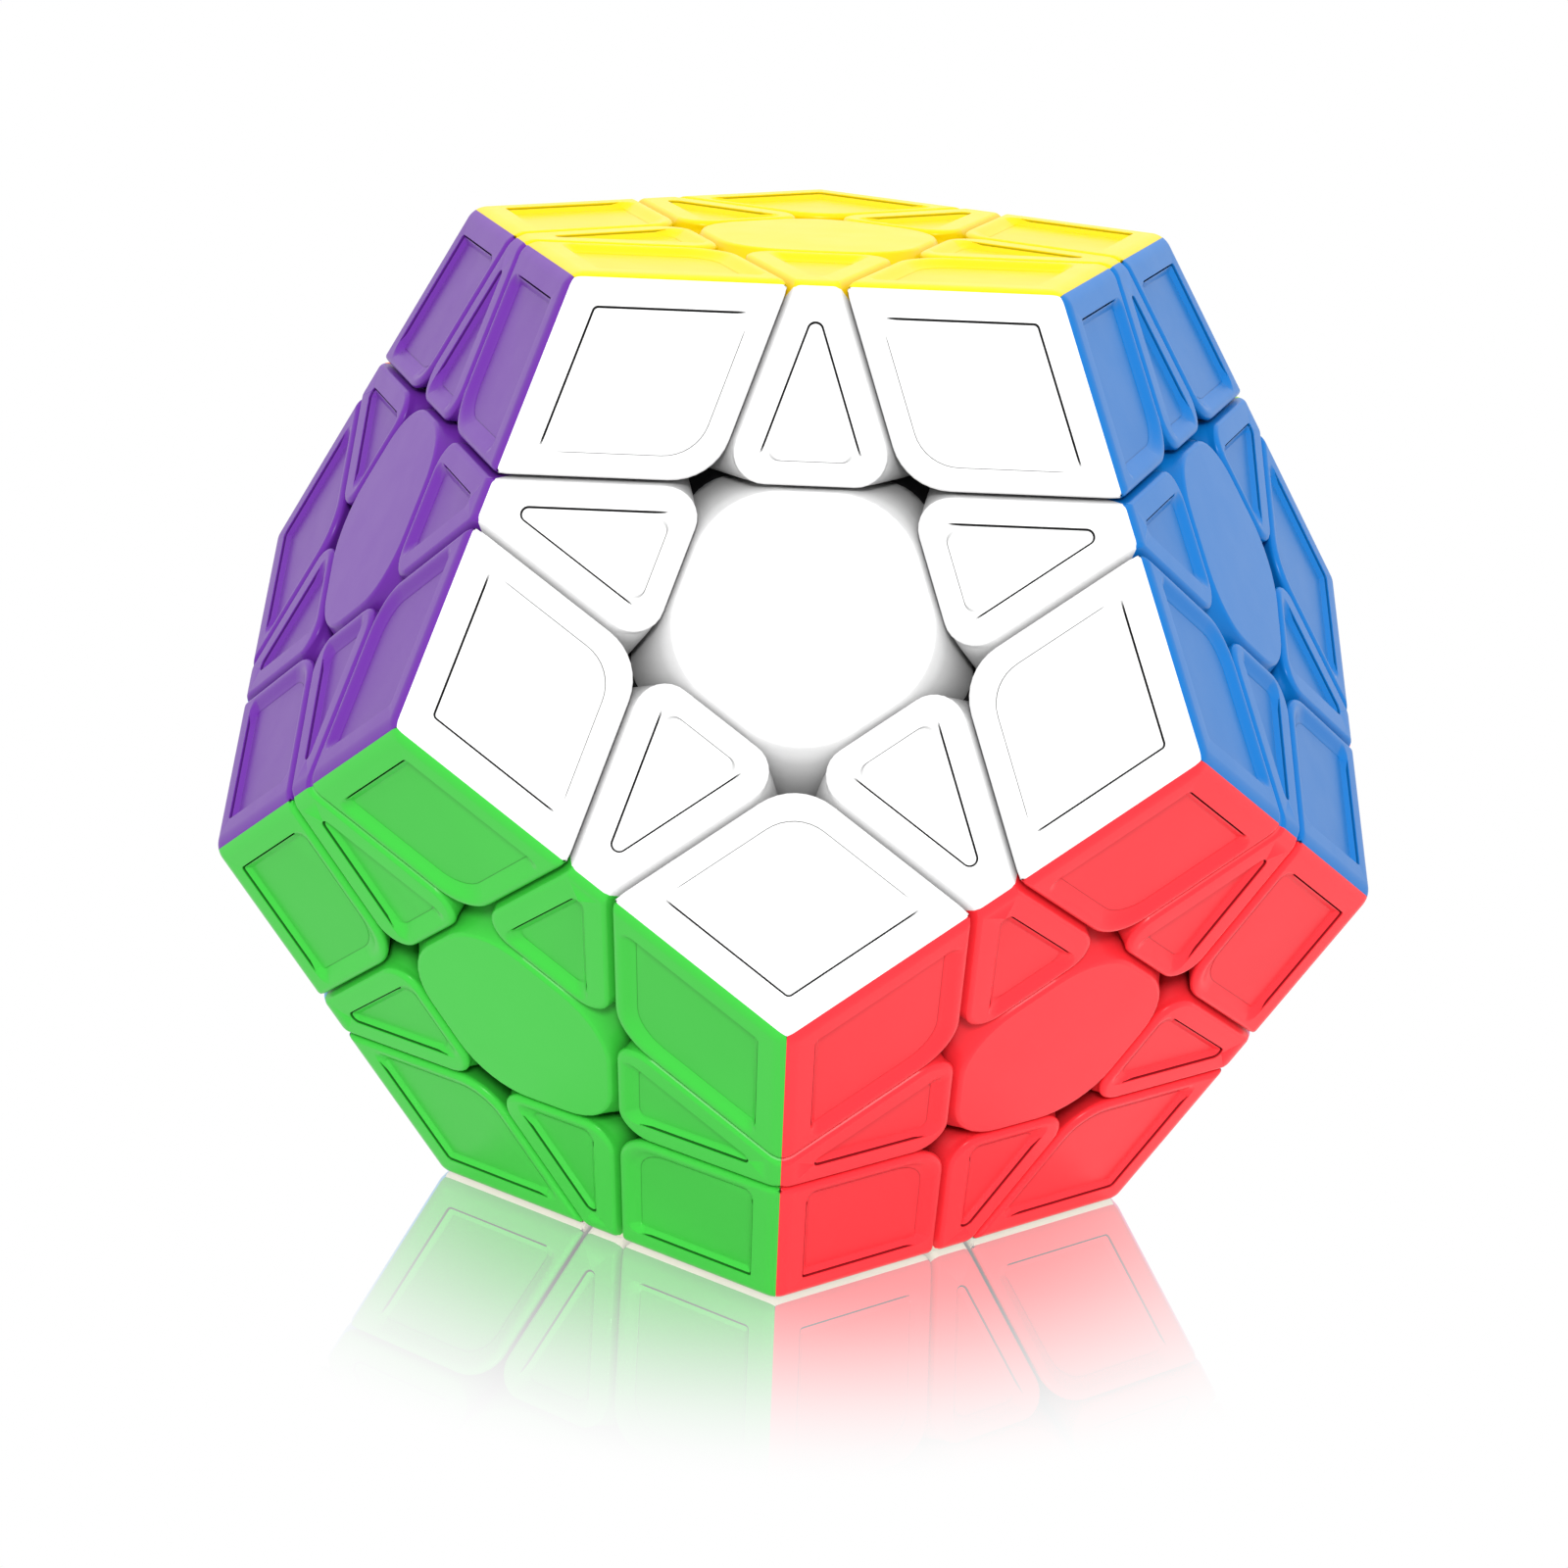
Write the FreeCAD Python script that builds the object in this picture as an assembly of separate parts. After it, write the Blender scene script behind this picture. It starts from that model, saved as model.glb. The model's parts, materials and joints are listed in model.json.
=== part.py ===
import FreeCAD, Part

# A dodecahedron twisty puzzle: twelve layers that turn about the normals of its twelve faces.
# A face shows one centre cap, five edge pieces and five corner pieces. Each edge and corner
# piece is a set of coloured shells on a black foot, and the feet are held under their
# neighbours, so a layer can turn but nothing can fall out. Twelve screws with springs hold
# the centres on a hollow core.
#
# Frame: +Z up, front face towards -Y, origin at the centre of the bottom face. Each kind of
# piece is built once, on the top face and about the puzzle's centre, then turned to its places.

import math
import os

from FreeCAD import Placement, Rotation, Vector

# Driving dimensions, in millimetres
EDGE = 36.0                 # one edge of the dodecahedron
CUT_ON_FACE = 9.15          # face centre to each cut line, measured on the face
FOOT_CUT = 23.5             # puzzle centre to the flat underside of a layer's feet
SEAT = 37.5                 # radius of the sphere between the feet and the shells above them
GAP = 0.3                   # free space between pieces that slide on each other

WALL = 1.2                  # side walls of the shells
PLATE = 1.6                 # outer plates of the shells
OUTER_ROUND = 2.0           # rounding of the dodecahedron's own edges
RIM_ROUND = 0.4             # rounding of a tile's rim along the cuts
CORNER_ROUND = 4.6          # inner corner of a corner tile
EDGE_TILE_ROUND = 2.5       # inner corners of an edge tile
CAP_ROUND = 6.4             # five corners of a centre cap

RECESS_DEPTH = 0.6
CUT_MARGIN = 2.0            # cut line to the recess
OUTER_MARGIN = 2.4          # the dodecahedron's edge, as if sharp, to the recess
CORNER_RECESS_ROUNDS = (3.7, 0.8, 0.5, 0.8)    # inner corner, side, vertex, side
EDGE_RECESS_ROUNDS = (0.6, 1.1, 1.1)           # tip at the dodecahedron's edge, then the base

CORNER_FOOT_INNER = 33.0    # inner radius of the corner feet
EDGE_FOOT_INNER = 34.3      # inner radius of the edge feet and of the centre plugs
CORNER_STEM = 3.6           # radius of the stem inside a corner piece
EDGE_STEM = 4.0             # radius of the stem inside an edge piece

CORE_BALL = 14.0
CORE_HOLLOW = 10.0
POST_RADIUS = 3.8
POST_END = 20.5             # distance of each post's end from the puzzle's centre
HUB_RADIUS = 5.2            # tube around the screw in each centre
HUB_BORE = 3.6
HUB_BOTTOM = 21.0
HUB_FLOOR = 1.5
SCREW_RADIUS = 1.5
SCREW_START = 11.0
SCREW_RUN = 0.08            # radial clearance of the turning centre on its screw
HEAD_RADIUS = 2.9
HEAD_HEIGHT = 2.0
DRIVE_WIDTH = 0.8           # cross recess in the screw head
DRIVE_LENGTH = 3.4
DRIVE_DEPTH = 1.1
WASHER_RADIUS = 3.3
WASHER_THICKNESS = 0.6
SPRING_LENGTH = 6.5
SPRING_RADIUS = 2.6         # centre of the wire
SPRING_WIRE = 0.3           # radius of the wire
SPRING_TURNS = 5
SPRING_CLEARANCE = 0.05     # between the spring and the faces it presses on

# The dodecahedron, worked out from its edge
SIDES = 5
STEP = 360 / SIDES
GOLDEN = (1 + math.sqrt(5)) / 2
FACE_ANGLE = math.degrees(math.acos(1 / math.sqrt(5)))     # between two neighbours' normals
INRADIUS = EDGE * GOLDEN ** 2 / (2 * math.sqrt(3 - GOLDEN))
APOTHEM = EDGE / (2 * math.tan(math.radians(STEP / 2)))
CUT = (CUT_ON_FACE * math.sin(math.radians(FACE_ANGLE))
       + INRADIUS * math.cos(math.radians(FACE_ANGLE)))    # puzzle centre to a cut plane
REACH = 4 * EDGE            # longer than anything in the puzzle

# Distances of the planes and spheres that bound the pieces
LAYER_LOW = CUT + GAP / 2           # a layer's own underside
LAYER_SIDE = CUT - GAP / 2          # where its neighbours' layers stop it
FOOT_LOW = FOOT_CUT + GAP / 2
FOOT_SIDE = FOOT_CUT - GAP / 2
FOOT_TOP = SEAT - GAP / 2
SHELL_BOTTOM = SEAT + GAP / 2
BELOW_PLATE = INRADIUS - PLATE
SPRING_START = HUB_BOTTOM + HUB_FLOOR + SPRING_CLEARANCE
WASHER_START = SPRING_START + SPRING_LENGTH + SPRING_CLEARANCE
HEAD_START = WASHER_START + WASHER_THICKNESS

UP = Vector(0, 0, 1)
EAST = Vector(1, 0, 0)


def direction(azimuth, polar):
    """Unit vector at an azimuth from +X and an angle from +Z, in degrees."""
    flat = math.sin(math.radians(polar))
    return Vector(flat * math.cos(math.radians(azimuth)),
                  flat * math.sin(math.radians(azimuth)),
                  math.cos(math.radians(polar)))


# The top face has a vertex at azimuth 90 and the middle of an edge at azimuth -90
NEIGHBOURS = [direction(-90 + STEP * k, FACE_ANGLE) for k in range(SIDES)]
EDGE_MIDDLES = [(UP + normal).normalize() for normal in NEIGHBOURS]
VERTICES = [(UP + NEIGHBOURS[k] + NEIGHBOURS[(k + 1) % SIDES]).normalize() for k in range(SIDES)]
EDGE_NORMALS = [UP, NEIGHBOURS[0]]                      # the two faces of the edge piece at -90
EDGE_END_NORMALS = [NEIGHBOURS[1], NEIGHBOURS[4]]       # the faces at its two ends
CORNER_NORMALS = [UP, NEIGHBOURS[2], NEIGHBOURS[3]]     # the three faces of the corner at 90
EDGE_AXIS = EDGE_MIDDLES[0]
CORNER_AXIS = VERTICES[2]

# Faces by colour, with the turn that carries the top face to each. Rings run anticlockwise.
UPPER_RING = ("white", "blue", "lime", "orange", "purple")       # the first faces the front
LOWER_RING = ("red", "pink", "grey", "light_blue", "green")      # the first is front right
FACES = {"yellow": Rotation(), "cream": Rotation(EAST, 180)}
for place, colour in enumerate(UPPER_RING):
    FACES[colour] = Rotation(UP, STEP * place) * Rotation(EAST, FACE_ANGLE) * Rotation(UP, 180)
for place, colour in enumerate(LOWER_RING):
    FACES[colour] = Rotation(UP, STEP * (place + 0.5)) * Rotation(EAST, 180 - FACE_ANGLE)
NORMALS = {colour: turn.multVec(UP) for colour, turn in FACES.items()}

# The layers that turn against the rest, by the colour of their face. No two are neighbours.
LAYERS = {"front": "white", "bottom": "cream", "rear": "orange"}
REST = "main"
TOUCHING = 0.7              # cosine that separates the faces of a piece from the other faces


def slab(normal, low, high):
    """Everything between two distances from the puzzle's centre along a normal."""
    block = Part.makeBox(2 * REACH, 2 * REACH, high - low, Vector(-REACH, -REACH, low))
    block.Placement = Placement(Vector(), Rotation(UP, normal))
    return block


def ball(radius):
    return Part.makeSphere(radius)


def rod(radius, start, end, axis=UP):
    """Cylinder on an axis through the puzzle's centre, between two distances from it."""
    return Part.makeCylinder(radius, end - start, axis * start, axis)


def intersection(shapes):
    result = shapes[0]
    for shape in shapes[1:]:
        result = result.common(shape)
    return result


def edges_between(shape, planes):
    """Edges of a shape that lie on two of the planes, each a normal and a distance."""
    chosen = []
    for edge in shape.Edges:
        middle = edge.valueAt((edge.FirstParameter + edge.LastParameter) / 2)
        on_planes = [normal for normal, distance in planes
                     if abs(middle.dot(normal) - distance) < 1e-5]
        if len(on_planes) == 2:
            chosen.append(edge)
    return chosen


def rounded(shape, radius, planes):
    return shape.makeFillet(radius, edges_between(shape, planes))


def corner_block(low, high, inner_round=None):
    """Space of a corner piece: between two distances along each of its three normals."""
    block = intersection([slab(normal, low, high) for normal in CORNER_NORMALS])
    if inner_round:
        block = rounded(block, inner_round, [(normal, low) for normal in CORNER_NORMALS])
    return block


def edge_block(low, high, end, inner_round=None):
    """Space of an edge piece: between two distances along its normals, inside its ends."""
    faces = [slab(normal, low, high) for normal in EDGE_NORMALS]
    ends = [slab(normal, -REACH, end) for normal in EDGE_END_NORMALS]
    block = intersection(faces + ends)
    if inner_round:
        planes = [(normal, low) for normal in EDGE_NORMALS]
        planes += [(normal, end) for normal in EDGE_END_NORMALS]
        block = rounded(block, inner_round, planes)
    return block


def centre_block(high, side, round_radius=None):
    """Space of a centre piece: under a plane and inside its five neighbours' layers."""
    sides = [slab(normal, -REACH, side) for normal in NEIGHBOURS]
    block = intersection([slab(UP, HUB_BOTTOM, high)] + sides)
    if round_radius:
        block = rounded(block, round_radius, [(normal, side) for normal in NEIGHBOURS])
    return block


def rounded_polygon(points, radii, height):
    """Face at a height whose outline is a polygon with each corner rounded by its radius."""
    starts = []
    ends = []
    arcs = []
    for k, point in enumerate(points):
        to_last = (points[k - 1] - point).normalize()
        to_next = (points[(k + 1) % len(points)] - point).normalize()
        half_angle = to_last.getAngle(to_next) / 2
        inward = (to_last + to_next).normalize()
        tangent = radii[k] / math.tan(half_angle)
        middle = point + inward * (radii[k] / math.sin(half_angle) - radii[k])
        starts.append(point + to_last * tangent)
        ends.append(point + to_next * tangent)
        arcs.append(Part.Arc(starts[k], middle, ends[k]).toShape())
    outline = []
    for k, arc in enumerate(arcs):
        outline.append(arc)
        outline.append(Part.LineSegment(ends[k], starts[(k + 1) % len(points)]).toShape())
    face = Part.Face(Part.Wire(outline))
    face.translate(Vector(0, 0, height))
    return face


def crossing(azimuth_a, offset_a, azimuth_b, offset_b):
    """Point of the XY plane at two offsets, each measured along its azimuth."""
    a = direction(azimuth_a, 90)
    b = direction(azimuth_b, 90)
    cross = a.x * b.y - a.y * b.x
    x = (offset_a * b.y - offset_b * a.y) / cross
    y = (offset_b * a.x - offset_a * b.x) / cross
    return Vector(x, y, 0)


def recess(points, radii):
    """Shallow pocket in the top face."""
    floor = rounded_polygon(points, radii, INRADIUS - RECESS_DEPTH)
    return floor.extrude(Vector(0, 0, 2 * RECESS_DEPTH))


def corner_recess():
    near = CUT_ON_FACE + CUT_MARGIN
    far = APOTHEM - OUTER_MARGIN
    sides = (90 - STEP / 2, 90 + STEP / 2)
    offsets = ((near, near), (near, far), (far, far), (far, near))
    points = [crossing(sides[0], first, sides[1], second) for first, second in offsets]
    return recess(points, CORNER_RECESS_ROUNDS)


def edge_recess():
    base = CUT_ON_FACE + CUT_MARGIN
    side = CUT_ON_FACE - CUT_MARGIN
    left = -90 - STEP
    right = -90 + STEP
    points = [crossing(left, side, right, side),
              crossing(right, side, -90, base),
              crossing(-90, base, left, side)]
    return recess(points, EDGE_RECESS_ROUNDS)


def corner_shell():
    """One of the three coloured shells of a corner piece, on the top face at azimuth 90."""
    outside = corner_block(LAYER_LOW, INRADIUS, CORNER_ROUND)
    outside = rounded(outside, OUTER_ROUND, [(normal, INRADIUS) for normal in CORNER_NORMALS])
    inside = corner_block(LAYER_LOW + WALL, BELOW_PLATE, CORNER_ROUND - WALL)
    shell = outside.cut(inside).cut(ball(SHELL_BOTTOM))
    for normal in CORNER_NORMALS[1:]:
        shell = shell.common(slab((UP - normal).normalize(), 0, REACH))
    return shell.cut(corner_recess())


def edge_shell():
    """One of the two coloured shells of an edge piece, on the top face at azimuth -90."""
    outside = edge_block(LAYER_LOW, INRADIUS, LAYER_SIDE, EDGE_TILE_ROUND)
    outside = rounded(outside, OUTER_ROUND, [(normal, INRADIUS) for normal in EDGE_NORMALS])
    inside = edge_block(LAYER_LOW + WALL, BELOW_PLATE, LAYER_SIDE - WALL, EDGE_TILE_ROUND - WALL)
    shell = outside.cut(inside).cut(ball(SHELL_BOTTOM))
    shell = shell.common(slab((UP - NEIGHBOURS[0]).normalize(), 0, REACH))
    return shell.cut(edge_recess())


def centre_cap():
    """Flat five-sided cap with a skirt that follows the cut planes down."""
    outside = centre_block(INRADIUS, LAYER_SIDE, CAP_ROUND)
    top_edges = [edge for edge in outside.Edges if edge.BoundBox.ZMin > INRADIUS - 1e-5]
    outside = outside.makeFillet(RIM_ROUND, top_edges)
    inside = centre_block(BELOW_PLATE, LAYER_SIDE - WALL, CAP_ROUND - WALL)
    return outside.cut(inside).cut(ball(SHELL_BOTTOM))


def corner_foot():
    """Wide foot under a corner, the neck through the layer and the stem inside the shells."""
    foot = corner_block(FOOT_LOW, INRADIUS).common(ball(FOOT_TOP))
    neck = corner_block(LAYER_LOW, INRADIUS, CORNER_ROUND).common(ball(SHELL_BOTTOM))
    stem = corner_block(LAYER_LOW + WALL, BELOW_PLATE, CORNER_ROUND - WALL)
    stem = stem.common(rod(CORNER_STEM, FOOT_LOW, REACH, CORNER_AXIS))
    return foot.fuse([neck, stem]).cut(ball(CORNER_FOOT_INNER)).removeSplitter()


def edge_foot():
    """Curved foot under an edge, the neck between two corner feet and the stem above."""
    foot = edge_block(FOOT_LOW, INRADIUS, FOOT_SIDE).common(ball(FOOT_TOP))
    neck = edge_block(LAYER_LOW, INRADIUS, FOOT_SIDE).common(ball(SHELL_BOTTOM))
    stem = edge_block(LAYER_LOW + WALL, BELOW_PLATE, LAYER_SIDE - WALL, EDGE_TILE_ROUND - WALL)
    stem = stem.common(rod(EDGE_STEM, FOOT_LOW, REACH, EDGE_AXIS)).cut(ball(SHELL_BOTTOM))
    return foot.fuse([neck, stem]).cut(ball(EDGE_FOOT_INNER)).removeSplitter()


def centre_base():
    """Plug between the edge feet, with the tube that turns on the screw and carries the cap."""
    plug = centre_block(INRADIUS, FOOT_SIDE).common(ball(SHELL_BOTTOM)).cut(ball(EDGE_FOOT_INNER))
    collar = centre_block(BELOW_PLATE, LAYER_SIDE - WALL, CAP_ROUND - WALL)
    collar = collar.cut(ball(SHELL_BOTTOM))
    hub = rod(HUB_RADIUS, HUB_BOTTOM, SEAT)
    bore = rod(HUB_BORE, HUB_BOTTOM + HUB_FLOOR, INRADIUS)
    hole = rod(SCREW_RADIUS + SCREW_RUN, 0, INRADIUS)
    return hub.fuse([plug, collar]).cut(bore).cut(hole).removeSplitter()


def core():
    """Hollow ball with a post towards every face, each with the hole that its screw bites in."""
    body = ball(CORE_BALL)
    body = body.fuse([rod(POST_RADIUS, CORE_HOLLOW, POST_END, n) for n in NORMALS.values()])
    holes = [rod(SCREW_RADIUS, 0, REACH, n) for n in NORMALS.values()]
    return body.cut([ball(CORE_HOLLOW)] + holes)


def screw():
    """Screw along +Z with a domed head and a cross recess."""
    shank = rod(SCREW_RADIUS, SCREW_START, HEAD_START + HEAD_HEIGHT / 2)
    head = rod(HEAD_RADIUS, HEAD_START, HEAD_START + HEAD_HEIGHT)
    top_edges = [edge for edge in head.Edges if edge.BoundBox.ZMin > HEAD_START + 1e-5]
    head = head.makeFillet(HEAD_HEIGHT / 2, top_edges)
    head_top = HEAD_START + HEAD_HEIGHT
    slots = []
    for length, width in ((DRIVE_LENGTH, DRIVE_WIDTH), (DRIVE_WIDTH, DRIVE_LENGTH)):
        corner = Vector(-length / 2, -width / 2, head_top - DRIVE_DEPTH)
        slots.append(Part.makeBox(length, width, 2 * DRIVE_DEPTH, corner))
    return head.fuse(shank).cut(slots)


def washer():
    ring = rod(WASHER_RADIUS, WASHER_START, HEAD_START)
    return ring.cut(rod(SCREW_RADIUS, 0, REACH))


def spring():
    """Coil between the floor of the centre's tube and the washer."""
    height = SPRING_LENGTH - 2 * SPRING_WIRE
    coil = Part.Wire(Part.makeHelix(height / SPRING_TURNS, height, SPRING_RADIUS))
    wire = Part.Wire(Part.makeCircle(SPRING_WIRE, Vector(SPRING_RADIUS, 0, 0), Vector(0, 1, 0)))
    body = coil.makePipeShell([wire], True, True)
    body.translate(Vector(0, 0, SPRING_START + SPRING_WIRE))
    return body


def layer_at(axis):
    """Name of the layer that a piece in this direction belongs to."""
    touching = [colour for colour, normal in NORMALS.items() if normal.dot(axis) > TOUCHING]
    for layer, face in LAYERS.items():
        if face in touching:
            return layer
    return REST


def turned(shape, rotation):
    """Copy of a shape turned about the puzzle's centre and stood on the bottom face."""
    copy = shape.copy()
    copy.Placement = Placement(Vector(0, 0, INRADIUS), rotation) * shape.Placement
    return copy


def add(nodes, name, shape, rotation):
    nodes.setdefault(name, []).append(turned(shape, rotation))


def add_shells(nodes, shell, kind, axis):
    """Shells of one kind on every face, in nodes by layer and colour."""
    for colour, face_turn in FACES.items():
        for k in range(SIDES):
            place = face_turn * Rotation(UP, STEP * k)
            layer = layer_at(place.multVec(axis))
            name = f"{layer}_{colour}_shells"
            if colour in LAYERS.values():
                name = f"{layer}_{colour}_{kind}_shells"
            add(nodes, name, shell, place)


def add_feet(nodes, foot, kind, axis):
    """One foot under every edge or corner piece, met once although its faces share it."""
    done = []
    for face_turn in FACES.values():
        for k in range(SIDES):
            place = face_turn * Rotation(UP, STEP * k)
            where = place.multVec(axis)
            if all(where.distanceToPoint(other) > 1e-3 for other in done):
                done.append(where)
                add(nodes, f"{layer_at(where)}_{kind}_feet", foot, place)


def assemble():
    """Every node's name with its list of solids."""
    nodes = {"core": [turned(core(), Rotation())]}
    cap = centre_cap()
    base = centre_base()
    on_each_face = {"screws": screw(), "washers": washer(), "springs": spring()}
    for colour, face_turn in FACES.items():
        add(nodes, f"{colour}_centre_cap", cap, face_turn)
        add(nodes, f"{layer_at(NORMALS[colour])}_centre_base", base, face_turn)
        for name, shape in on_each_face.items():
            add(nodes, name, shape, face_turn)
    add_shells(nodes, edge_shell(), "edge", EDGE_AXIS)
    add_shells(nodes, corner_shell(), "corner", CORNER_AXIS)
    add_feet(nodes, edge_foot(), "edge", EDGE_AXIS)
    add_feet(nodes, corner_foot(), "corner", CORNER_AXIS)
    return nodes


def main():
    os.makedirs("parts", exist_ok=True)
    for name, shapes in assemble().items():
        solids = [solid for shape in shapes for solid in shape.Solids]
        shape = solids[0] if len(solids) == 1 else Part.makeCompound(solids)
        shape.exportStep(os.path.join("parts", f"{name}.step"))


main()
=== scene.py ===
# The looks of the dodecahedron twisty puzzle: moulded tiles and caps over the CAD pieces.
#
# A corner tile, an edge tile and a cap are each made once, in the frame of the top face, and
# copied to every place that has one. Each is a stack of closed rings of points: from the
# underside of its plate down inside its walls, up outside them and over the rim, and on a tile
# down into the recess. Every ring is a polygon with rounded corners. Its sides are written as
# distances from the centre of the face and depths under the face. Lengths are in millimetres
# until the meshes are made.

import json
import math

import bpy
import numpy as np
from mathutils import Matrix, Vector


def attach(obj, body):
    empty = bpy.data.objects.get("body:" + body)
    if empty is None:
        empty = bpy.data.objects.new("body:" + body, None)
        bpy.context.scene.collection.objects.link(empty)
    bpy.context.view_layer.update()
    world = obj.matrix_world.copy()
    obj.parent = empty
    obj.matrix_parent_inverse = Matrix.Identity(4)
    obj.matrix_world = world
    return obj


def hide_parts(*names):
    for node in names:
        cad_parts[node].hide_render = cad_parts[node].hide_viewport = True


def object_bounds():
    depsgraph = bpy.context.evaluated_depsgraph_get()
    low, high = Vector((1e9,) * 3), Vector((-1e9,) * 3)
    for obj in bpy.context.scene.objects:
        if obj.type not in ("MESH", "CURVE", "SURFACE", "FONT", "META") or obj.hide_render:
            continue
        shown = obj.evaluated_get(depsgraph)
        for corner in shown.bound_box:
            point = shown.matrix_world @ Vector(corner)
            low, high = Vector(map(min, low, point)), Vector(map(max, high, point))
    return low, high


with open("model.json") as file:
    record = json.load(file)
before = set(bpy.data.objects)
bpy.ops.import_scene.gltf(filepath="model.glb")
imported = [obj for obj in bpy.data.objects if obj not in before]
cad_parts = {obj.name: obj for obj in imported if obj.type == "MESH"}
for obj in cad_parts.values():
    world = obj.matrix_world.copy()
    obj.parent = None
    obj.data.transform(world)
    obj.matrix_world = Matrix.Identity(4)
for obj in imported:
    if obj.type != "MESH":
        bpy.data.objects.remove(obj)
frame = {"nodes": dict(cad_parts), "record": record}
cad_low, cad_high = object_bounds()

# Driving dimensions, in millimetres
MM = 0.001
INRADIUS = (cad_high.z - cad_low.z) / 2 / MM
CUT_ON_FACE = 9.15          # face centre to each cut line
GAP = 0.3                   # between pieces that slide on each other
SHELL_BOTTOM = 37.65        # radius of the sphere on which shells and caps end
PLATE = 1.6                 # thickness of the outer plates
WALL = 1.2                  # thickness of the side walls

OUTER_ROUND = 2.0           # rounding of the dodecahedron's own edges
RIM_ROUND = 0.45            # rounding of the rims along the cuts
CORNER_ROUND = 4.6          # inner corner of a corner tile
EDGE_TILE_ROUND = 2.5       # inner corners of an edge tile
CAP_ROUND = 6.4             # corners of a cap
CAP_FOOT_ROUND = 4.4        # the same corners at the foot of the skirt, which flares
EDGE_TILE_FOOT_ROUND = 0.5  # an edge tile's inner corners at the foot of its walls
FLARE_DEPTH = 1.6           # where the corners have taken a share of their change
FLARE_SHARE = 0.25
SEAM_ROUND = 0.05           # corners where a cut meets the dodecahedron's own edge
STRAIGHT_WALL = 0.3         # under the rim, before the flare

LIP_FROM_EDGE = 2.4         # the dodecahedron's edge, as if sharp, to the lip of a recess
LIP_FROM_CUT = 1.95         # cut line to the lip along the long sides of an edge tile
SLOPE_FROM_CUT = 1.0        # cut line to the soft slope of a recess
RECESS_DEPTH = 0.56
GROOVE_DEPTH = 0.75         # hairline groove under the lip
CREASE_DEPTH = 0.6          # finer groove at the foot of the slope
RECESS_CORNER_ROUNDS = (0.5, 0.8, 3.9, 0.8)     # vertex, side, inner corner, side
INNER_CORNER_SHRINK = 0.3   # loss of the inner corner's radius per distance inwards
TIP_ROUND = 0.65            # outer corners of the recess of an edge tile
RECESS_BASE_ROUND = 0.8     # its inner corners
LIP_FADE = 0.9              # length over which a lip runs out towards a cut

# Painted shade: how much the colour is darkened where shade falls, from 0 to 1
# Painted shade in the crease at the foot of a recess's slope, stronger on white
CREASE_SHADES = {"white": 0.85}
CREASE_SHADE_ELSEWHERE = 0.4
FLOOR_SHADE = 0.1           # painted shade on the floor of a recess
TILE_WALL_SHADE = 0.7       # painted shade on walls deep in the gaps
CAP_WALL_SHADE = 0.45       # less painted shade, as caps stand in wider holes
SHADE_DEPTH = 2.4           # where the painted shade on a wall is darkest

# Just inside the lip runs a hairline groove, then a band that slopes down to the floor. The
# soft slope on the other sides ends in a finer groove. Each row is an offset inwards, a depth
# and how much painted shade darkens the surface there, from 0 to 1.
LIP_PROFILE = ((0.0, 0.0, 0), (0.02, 0.05, 0), (0.02, 0.1, 1), (0.02, GROOVE_DEPTH, 1),
               (0.16, GROOVE_DEPTH, 1), (0.16, 0.22, 1), (0.17, 0.2, 0), (0.22, 0.23, 0),
               (0.35, 0.33, 0), (0.48, 0.45, 0), (0.58, 0.53, FLOOR_SHADE),
               (0.64, RECESS_DEPTH, FLOOR_SHADE))
SLOPE_PROFILE = ((0.0, 0.0, 0), (0.15, 0.02, 0), (0.3, 0.07, 0), (0.45, 0.15, 0),
                 (0.6, 0.24, 0), (0.75, 0.33, 0), (0.9, 0.42, 0), (1.08, 0.5, 0),
                 (1.23, 0.55, 0))
CREASE_OFFSETS = (1.23, 1.3)

# The dodecahedron, worked out from its inradius
SIDES = 5
STEP = math.radians(72)
GOLDEN = (1 + math.sqrt(5)) / 2
EDGE = INRADIUS * 2 * math.sqrt(3 - GOLDEN) / GOLDEN ** 2
APOTHEM = EDGE / (2 * math.tan(STEP / 2))
FACE_ANGLE = math.acos(1 / math.sqrt(5))        # between two neighbours' normals
SEAM_SLOPE = -math.tan(FACE_ANGLE / 2)          # how the planes between two faces lean inwards
LOW_SLOPE = -1 / math.tan(FACE_ANGLE)           # lean of a wall on a layer's own underside
HIGH_SLOPE = 1 / math.tan(FACE_ANGLE)           # lean of a wall that faces a turning layer
HALF_GAP = GAP / 2 / math.sin(FACE_ANGLE)
LOW = -(CUT_ON_FACE + HALF_GAP)                 # outward distance of a wall on the underside
HIGH = CUT_ON_FACE - HALF_GAP                   # outward distance of the wall it turns against
WALL_ON_FACE = WALL / math.sin(FACE_ANGLE)
OUTER_SETBACK = -OUTER_ROUND * SEAM_SLOPE
TURNS = {LOW_SLOPE: math.pi - FACE_ANGLE, HIGH_SLOPE: FACE_ANGLE}      # over the rim of a wall
SETBACKS = {slope: RIM_ROUND * math.tan(turn / 2) for slope, turn in TURNS.items()}

ARC_STEPS = 8
RIM_STEPS = 8
END_STEPS = (0.12, 0.3, 0.55, 0.85, 1.2, 1.8)   # points near both ends of a side
MIDDLE_STEPS = (0.0, 0.25, 0.5, 0.75, 1.0)
SEAM_SUPPORT = 0.02         # keeps the shading crisp along the dodecahedron's edges
SEAM_THICKNESS = 0.04       # of the plate at a seam, as a share of a wall's
END_SHARE = 0.4             # most of a side that the points near one end take up
SETTLING_ROUNDS = 6
STEEPEST_REACH = 0.999      # of a rounded edge, as a share of its radius
STEEPEST_TURN = 1.5         # of a rim, in radians, that lowers the seam beside it
SHARPEST = 0.1              # corners of the recess of a corner tile
SHARPEST_TIP = 0.05         # and of an edge tile


def heading(azimuth):
    return np.array((math.cos(azimuth), math.sin(azimuth)))


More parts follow.
